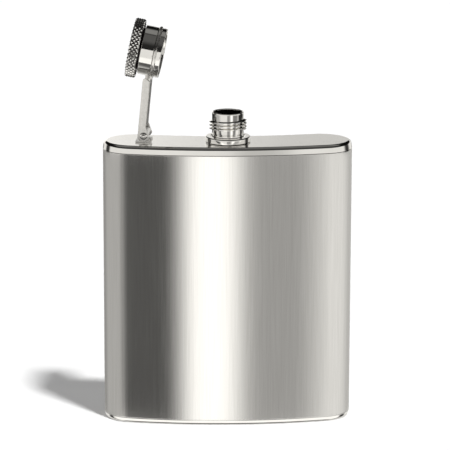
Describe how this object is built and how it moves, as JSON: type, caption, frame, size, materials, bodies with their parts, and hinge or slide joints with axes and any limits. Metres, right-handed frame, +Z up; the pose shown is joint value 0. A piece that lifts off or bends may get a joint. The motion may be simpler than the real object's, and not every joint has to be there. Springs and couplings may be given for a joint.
{
  "type": "hip flask",
  "caption": "Curved steel hip flask with polished end pans, a threaded neck and a knurled screw cap held open on a hinged arm.",
  "frame": {"origin": "middle of the footprint, on the surface that the flask stands on", "axes": "+Z up along the body and neck, -Y out of the convex face, the cap's hinge on the -X side"},
  "size_m": [0.095, 0.028, 0.1557],
  "materials": {
    "satin_steel": "fine vertical satin brushing",
    "polished_steel": "mirror polished",
    "arm_steel": "bright pressed sheet",
    "silicone": "matt translucent silicone"
  },
  "bodies": {
    "flask": {"body_shell": "satin_steel", "top_pan": "polished_steel", "bottom_pan": "polished_steel", "neck_tube": "polished_steel", "neck_collar": "polished_steel", "hinge_foot": "polished_steel", "hinge_pin": "polished_steel"},
    "arm": {"cap_arm": "arm_steel"},
    "cap": {"cap_head": "polished_steel", "cap_sleeve": "polished_steel", "cap_retaining_ring": "polished_steel", "cap_gasket": "silicone"}
  },
  "joints": [
    {"name": "arm_hinge", "type": "hinge", "parent": "flask", "child": "arm", "pos_m": [-0.03144, 0.00116, 0.1115], "axis": [0.0997, 0.995, 0], "range_deg": [-95, 79]},
    {"name": "cap_spin", "type": "hinge", "parent": "arm", "child": "cap", "pos_m": [-0.02544, 0.00056, 0.14252], "axis": [-0.9767, 0.0979, 0.1908], "continuous": true}
  ]
}
